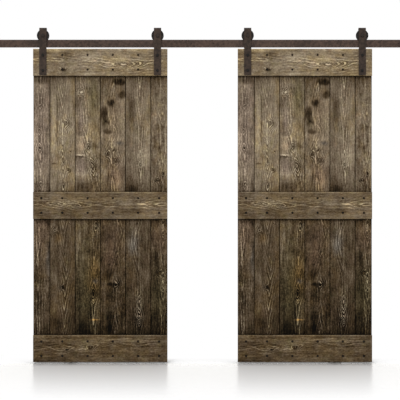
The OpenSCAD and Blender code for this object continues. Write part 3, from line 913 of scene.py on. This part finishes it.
def finish_wood():
    """Boards and rails. Both doors are cut and figured alike, so they share their finishes."""
    for i, (left, right) in zip(BOARDS, board_faces()):
        origin = Vector(((left + right) / 2, BOARD_FACE, DOOR_TOP))
        finish = wood_finish(f"board_{i}_wood", origin, True, BOARD_FIGURES[i], i)
        for side in SIDES:
            paint(f"{side}_board_{i}", finish)
    for seed, level in enumerate(LEVELS, RAIL_SEED):
        origin = Vector((DOOR_LEFT, RAIL_FACE, rail_middle(level)))
        figure = dict(RAIL_FIGURES[level])
        figure["marks"] = figure["marks"] + screw_stains(level)
        finish = wood_finish(f"{level}_rail_wood", origin, False, figure, seed)
        for side in SIDES:
            paint(f"{side}_{level}_rail", finish)


# Pieces of the track, and pieces of each side by finish
TRACK_PIECES = (
    "track_bar_left", "track_bar_right", "track_joiner", "joiner_bolts", "track_spacers", "lag_screws",
    "left_end_stop", "right_end_stop", "stop_set_screws",
)
SIDE_PIECES = {
    "hanger": ("outer_strap", "inner_strap"),
    "bolt": ("strap_bolts", "strap_washers", "strap_nuts"),
    "axle": ("axle_bolts", "axle_nuts"),
    "nylon": ("outer_wheel", "inner_wheel"),
    "steel": ("outer_bearing", "inner_bearing", "axle_bushes"),
    "zinc": ("floor_guide",),
    "screw": ("rail_screws",),
}


def finish_hardware():
    """Track, hangers, bolts, wheels and small fittings."""
    track = bronze_finish("track_bronze", srgb(66, 52, 44))
    rubber = plain_finish("stop_rubber", srgb(22, 22, 22), 0.8)
    finishes = {
        "hanger": bronze_finish("hanger_bronze", srgb(52, 41, 33)),
        # The strap bolts are near black, darker than the strap, as painted shade for the shadow under their heads
        "bolt": bronze_finish("bolt_bronze_painted_shade", srgb(17, 14, 11), 0.4),
        "axle": bronze_finish("axle_bronze", srgb(41, 33, 27), 0.45),
        "nylon": plain_finish("wheel_nylon", srgb(30, 26, 23), 0.5),
        "steel": plain_finish("ground_steel", srgb(150, 150, 152), 0.32, 1.0),
        "zinc": plain_finish("guide_zinc", srgb(158, 157, 153), 0.45, 0.6),
        "screw": plain_finish("screw_black", srgb(12, 10, 9), 0.5, 0.2),
    }
    for name in TRACK_PIECES:
        paint(name, track)
    paint("stop_bumpers", rubber)
    for side in SIDES:
        for finish, pieces in SIDE_PIECES.items():
            for piece in pieces:
                paint(f"{side}_{piece}", finishes[finish])
    build_screws(finishes["screw"], track)


def add(tree, kind, settings=None, **inputs):
    """A Geometry Nodes node with its settings and inputs set."""
    node = tree.nodes.new("GeometryNode" + kind)
    for name, value in (settings or {}).items():
        setattr(node, name, value)
    for name, value in inputs.items():
        feed(tree, node.inputs[name.replace("_", " ")], value)
    return node


def joined(tree, parts):
    """The parts in one geometry."""
    node = tree.nodes.new("GeometryNodeJoinGeometry")
    for part in parts:
        tree.links.new(part, node.inputs[0])
    return node.outputs[0]


def lifted(tree, part, height):
    """A part moved up its own axis."""
    shift = tree.nodes.new("ShaderNodeCombineXYZ")
    feed(tree, shift.inputs[2], height)
    return add(tree, "Transform", Geometry=part, Translation=shift.outputs[0]).outputs[0]


def wound_ridge(tree, start, end, height, pitch, ridge):
    """A thread's ridge, wound up from radius start to radius end."""
    spiral = add(
        tree, "CurveSpiral", Resolution=THREAD_STEPS, Rotations=height / pitch, Start_Radius=start,
        End_Radius=end, Height=height, Reverse=False,
    )
    upright = add(tree, "SetCurveNormal", {"mode": "Z_UP"}, Curve=spiral.outputs[0])
    section = add(
        tree, "CurvePrimitiveQuadrilateral", {"mode": "KITE"}, Width=ridge * 2.0, Bottom_Height=ridge,
        Top_Height=ridge,
    )
    swept = add(
        tree, "CurveToMesh", Curve=upright.outputs[0], Profile_Curve=section.outputs[0], Fill_Caps=True,
    )
    return swept.outputs[0]


def tapered(tree, low_radius, high_radius, height, sides=SHAFT_SIDES):
    """A closed round shaft that tapers upwards."""
    cone = add(
        tree, "MeshCone", Vertices=sides, Radius_Top=high_radius, Radius_Bottom=low_radius, Depth=height,
    )
    return cone.outputs[0]


def cross_recess(tree, head, head_radius):
    """A head with a cross cut into its face."""
    cut = add(tree, "MeshBoolean", {"operation": "DIFFERENCE", "solver": "EXACT"}, Mesh_1=head)
    for x_share, y_share in ((RECESS_LONG, RECESS_WIDE), (RECESS_WIDE, RECESS_LONG)):
        size = tree.nodes.new("ShaderNodeCombineXYZ")
        for socket, share in zip(size.inputs, (x_share, y_share, RECESS_DEEP)):
            feed(tree, socket, head_radius * share)
        bar = add(tree, "MeshCube", Size=size.outputs[0])
        tree.links.new(bar.outputs[0], cut.inputs["Mesh 2"])
    return cut.outputs[0]


def screw_tree(name, sizes, build):
    """A tree that sets one screw at each point of its input, pointing into the wall, each turned at random."""
    tree = bpy.data.node_groups.new(name, "GeometryNodeTree")
    tree.interface.new_socket("Places", in_out="INPUT", socket_type="NodeSocketGeometry")
    for label in sizes:
        tree.interface.new_socket(label, in_out="INPUT", socket_type="NodeSocketFloat")
    tree.interface.new_socket("Finish", in_out="INPUT", socket_type="NodeSocketMaterial")
    tree.interface.new_socket("Screws", in_out="OUTPUT", socket_type="NodeSocketGeometry")
    given = tree.nodes.new("NodeGroupInput")
    screw = build(tree, {label: Field(tree, given.outputs[label]) for label in sizes})

    turn = tree.nodes.new("FunctionNodeRandomValue")
    turn.data_type = "FLOAT"
    turn.inputs["Seed"].default_value = SCREW_SEED
    spin = tree.nodes.new("ShaderNodeCombineXYZ")
    feed(tree, spin.inputs[2], Field(tree, turn.outputs[1]) * math.pi)
    placed = add(
        tree, "InstanceOnPoints", Points=given.outputs["Places"], Instance=screw,
        Rotation=(-math.pi / 2, 0.0, 0.0),
    )
    turned = add(
        tree, "RotateInstances", Instances=placed.outputs[0], Rotation=spin.outputs[0], Local_Space=True,
    )
    real = add(tree, "RealizeInstances", Geometry=turned.outputs[0])
    painted = add(tree, "SetMaterial", Geometry=real.outputs[0], Material=given.outputs["Finish"])
    result = tree.nodes.new("NodeGroupOutput")
    tree.links.new(painted.outputs[0], result.inputs[0])
    return tree


def rail_screw(tree, size):
    """A countersunk wood screw: head with a cross recess, threaded shank and point."""
    pitch, ridge = size["Pitch"], size["Ridge"]
    head_radius, core = size["Head"] * 0.5, size["Shank"] * 0.5 - ridge
    head_h = (size["Head"] - size["Shank"]) * 0.5
    point_h = size["Shank"]
    shank_h = size["Length"] - head_h - point_h
    point_z = head_h + shank_h

    head = cross_recess(tree, tapered(tree, head_radius, core, head_h, HEAD_SIDES), head_radius)
    shank = tapered(tree, core * SHANK_THIN, core * SHANK_THIN, shank_h + head_h * SHANK_LAP)
    point = tapered(tree, core * POINT_THIN, core * POINT_END, point_h * (1.0 + POINT_LAP))
    thread = wound_ridge(tree, core, core, shank_h * THREADED_SHANK, pitch, ridge)
    tip_thread = wound_ridge(
        tree, core, core * TIP_THREAD_END, point_h * TIP_THREAD, pitch, ridge * TIP_RIDGE,
    )
    return joined(tree, [
        head,
        lifted(tree, shank, head_h * (1.0 - SHANK_LAP)),
        lifted(tree, point, point_z - point_h * POINT_LAP),
        lifted(tree, thread, head_h + shank_h * (1.0 - THREADED_SHANK)),
        lifted(tree, tip_thread, point_z),
    ])


def lag_thread(tree, size):
    """The ridges of a lag screw's thread, on its core and down its point."""
    pitch, ridge, core = size["Pitch"], size["Ridge"], size["Core"] * 0.5
    straight = size["Length"] - size["Core"]
    body = wound_ridge(tree, core, core, straight - pitch, pitch, ridge)
    point = wound_ridge(
        tree, core, core * LAG_TIP_END, size["Core"] * LAG_TIP_THREAD, pitch, ridge * TIP_RIDGE,
    )
    return joined(tree, [lifted(tree, body, pitch), lifted(tree, point, straight)])


def place_screws(name, places, tree, sizes, finish):
    """A piece with a screw at each place."""
    mesh = bpy.data.meshes.new(name + "_places")
    mesh.from_pydata(places, [], [])
    holder = bpy.data.objects.new(name + "_places", mesh)
    bpy.context.scene.collection.objects.link(holder)
    modifier = holder.modifiers.new("screws", "NODES")
    modifier.node_group = tree
    values = {**sizes, "Finish": finish}
    for socket in tree.interface.items_tree:
        if socket.in_out == "INPUT" and socket.name in values:
            modifier[socket.identifier] = values[socket.name]
    evaluated = holder.evaluated_get(bpy.context.evaluated_depsgraph_get())
    made = bpy.data.meshes.new_from_object(evaluated)
    holder.modifiers.remove(modifier)
    bpy.data.objects.remove(holder)
    piece = bpy.data.objects.new(name, made)
    bpy.context.scene.collection.objects.link(piece)
    return piece


def build_screws(screw_finish, lag_finish):
    """Wood screws in the rails of both doors, and the threads of the lag screws in the wall."""
    tree = screw_tree("rail_screw", SCREW_SIZES, rail_screw)
    for side, shift in zip(SIDES, (0.0, DOOR_SHIFT)):
        places = [
            (DOOR_LEFT + shift + column, RAIL_FACE + SCREW_SINK, rail_middle(level) + row)
            for level in LEVELS
            for column in screw_columns(level)
            for row in (-SCREW_ROW, SCREW_ROW)
        ]
        piece = place_screws(f"{side}_wood_screws", places, tree, SCREW_SIZES, screw_finish)
        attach(piece, f"{side}_door")
        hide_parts(f"{side}_rail_screws")
    tree = screw_tree("lag_thread", LAG_SIZES, lag_thread)
    places = [(way * (LAG_END + i * LAG_PITCH), 0.0, 0.0) for way in (-1, 1) for i in range(LAGS_PER_HALF)]
    piece = place_screws("lag_screw_threads", places, tree, LAG_SIZES, lag_finish)
    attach(piece, "track")


def studio_world():
    """Soft even light from all round, with white behind the doors."""
    world = bpy.data.worlds.new("studio")
    bpy.context.scene.world = world
    world.use_nodes = True
    tree = world.node_tree
    tree.nodes.clear()
    path = tree.nodes.new("ShaderNodeLightPath")
    shown = Field(tree, path.outputs["Is Camera Ray"])
    for kind in ("Is Glossy Ray", "Is Transmission Ray"):
        shown = shown.math("MAXIMUM", shown, Field(tree, path.outputs[kind]))
    background = tree.nodes.new("ShaderNodeBackground")
    background.inputs["Color"].default_value = (1, 1, 1, 1)
    feed(tree, background.inputs["Strength"], WORLD_LIGHT + shown * (1.0 - WORLD_LIGHT))
    output = tree.nodes.new("ShaderNodeOutputWorld")
    tree.links.new(background.outputs[0], output.inputs[0])


def floor_finish():
    """White floor, with painted shade from an occlusion node close to what stands on it. Its gloss fades to the
    front, and far behind it is white.
    """
    material = bpy.data.materials.new("white_floor")
    material.use_nodes = True
    tree = material.node_tree
    tree.nodes.clear()
    in_front = RAIL_FACE - object_place(tree)[1]
    path = tree.nodes.new("ShaderNodeLightPath")
    seen = Field(tree, path.outputs["Is Camera Ray"])
    closeness = tree.nodes.new("ShaderNodeAmbientOcclusion")
    closeness.inputs["Distance"].default_value = FLOOR_SHADE_REACH
    shaded = 1.0 - FLOOR_SHADE + Field(tree, closeness.outputs["AO"]) * FLOOR_SHADE

    lit = tree.nodes.new("ShaderNodeBsdfDiffuse")
    feed(tree, lit.inputs["Color"], (FLOOR_COLOUR + seen * FLOOR_LIFT) * shaded)
    white = tree.nodes.new("ShaderNodeEmission")
    white.inputs["Strength"].default_value = 1.0
    gloss = tree.nodes.new("ShaderNodeBsdfGlossy")
    gloss.inputs["Roughness"].default_value = FLOOR_ROUGHNESS
    gloss.inputs["Color"].default_value = FLOOR_SHEEN

    far_behind = (1.0 - in_front.step(*FLOOR_WHITE_FROM)) * seen
    shine = (in_front / FLOOR_REACH).ramp(FLOOR_GLOSS) * in_front.step(0.0, FLOOR_GLOSS_START) * seen
    shader = lit
    for share, other in ((far_behind, white), (shine, gloss)):
        blend = tree.nodes.new("ShaderNodeMixShader")
        feed(tree, blend.inputs[0], share)
        tree.links.new(shader.outputs[0], blend.inputs[1])
        tree.links.new(other.outputs[0], blend.inputs[2])
        shader = blend
    output = tree.nodes.new("ShaderNodeOutputMaterial")
    tree.links.new(shader.outputs[0], output.inputs[0])
    return material


def build_stage():
    """A white floor that shows a short reflection, a soft sun and the camera."""
    scene = bpy.context.scene
    scene.view_settings.view_transform = "Standard"
    studio_world()

    mesh = bpy.data.meshes.new("floor")
    corners = [(x * FLOOR_HALF, y * FLOOR_HALF, FLOOR_LEVEL) for x, y in ((-1, -1), (1, -1), (1, 1), (-1, 1))]
    mesh.from_pydata(corners, [], [(0, 1, 2, 3)])
    mesh.materials.append(floor_finish())
    floor = bpy.data.objects.new("floor", mesh)
    scene.collection.objects.link(floor)

    sun = bpy.data.lights.new("sun", "SUN")
    sun.energy = SUN_STRENGTH
    sun.angle = SUN_ANGLE
    holder = bpy.data.objects.new("sun", sun)
    holder.location = SUN_FROM
    holder.rotation_euler = (-Vector(SUN_FROM)).to_track_quat("-Z", "Y").to_euler()
    scene.collection.objects.link(holder)

    camera = bpy.data.cameras.new("camera")
    camera.sensor_width = CAMERA_SENSOR
    camera.lens = CAMERA_SENSOR * CAMERA_DISTANCE / VIEW_WIDTH
    camera.clip_end = CAMERA_REACH
    holder = bpy.data.objects.new("camera", camera)
    holder.location = (VIEW_CENTRE[0], RAIL_FACE - CAMERA_DISTANCE, VIEW_CENTRE[1])
    holder.rotation_euler = (math.pi / 2, 0.0, 0.0)
    scene.collection.objects.link(holder)
    scene.camera = holder


finish_wood()
finish_hardware()
build_stage()
